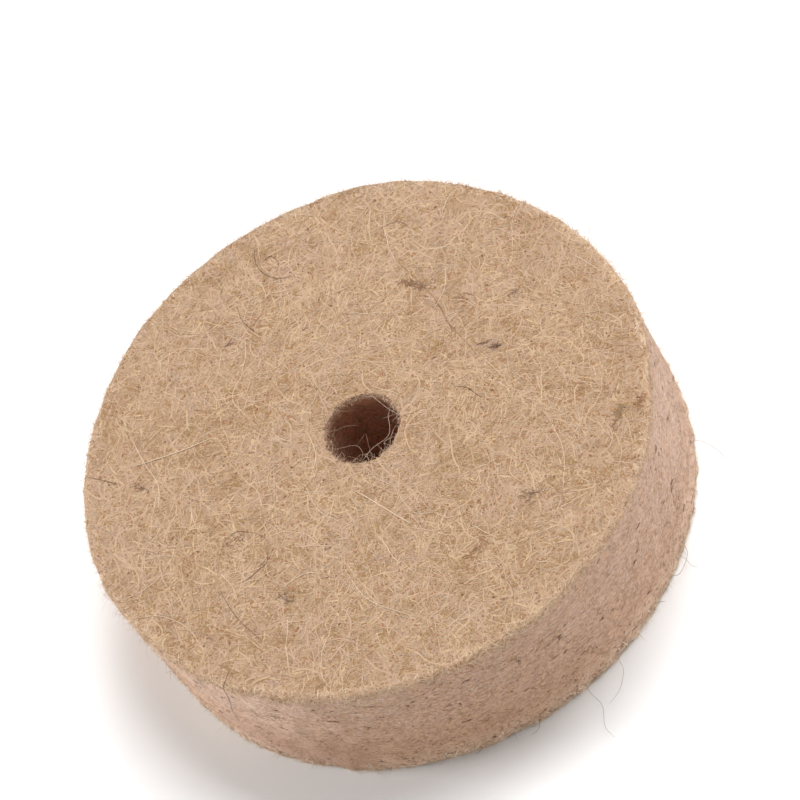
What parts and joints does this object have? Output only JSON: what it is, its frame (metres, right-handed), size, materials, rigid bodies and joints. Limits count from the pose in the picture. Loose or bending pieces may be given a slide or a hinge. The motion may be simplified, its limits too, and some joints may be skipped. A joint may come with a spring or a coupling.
{
  "type": "felt polishing wheel",
  "caption": "Thick disc of pressed wool felt with a plain round arbor hole through its middle, for polishing stone and metal on a spindle.",
  "frame": {"origin": "centre of the arbor hole at half the wheel's thickness", "axes": "+Z along the hole's axis, out of the pictured front face; the wheel lies flat on its back face; X and Y are any two directions across it"},
  "size_m": [0.075, 0.075, 0.02],
  "materials": {
    "felt": "matte"
  },
  "bodies": {
    "root": {"felt_wheel": "felt"}
  },
  "joints": []
}
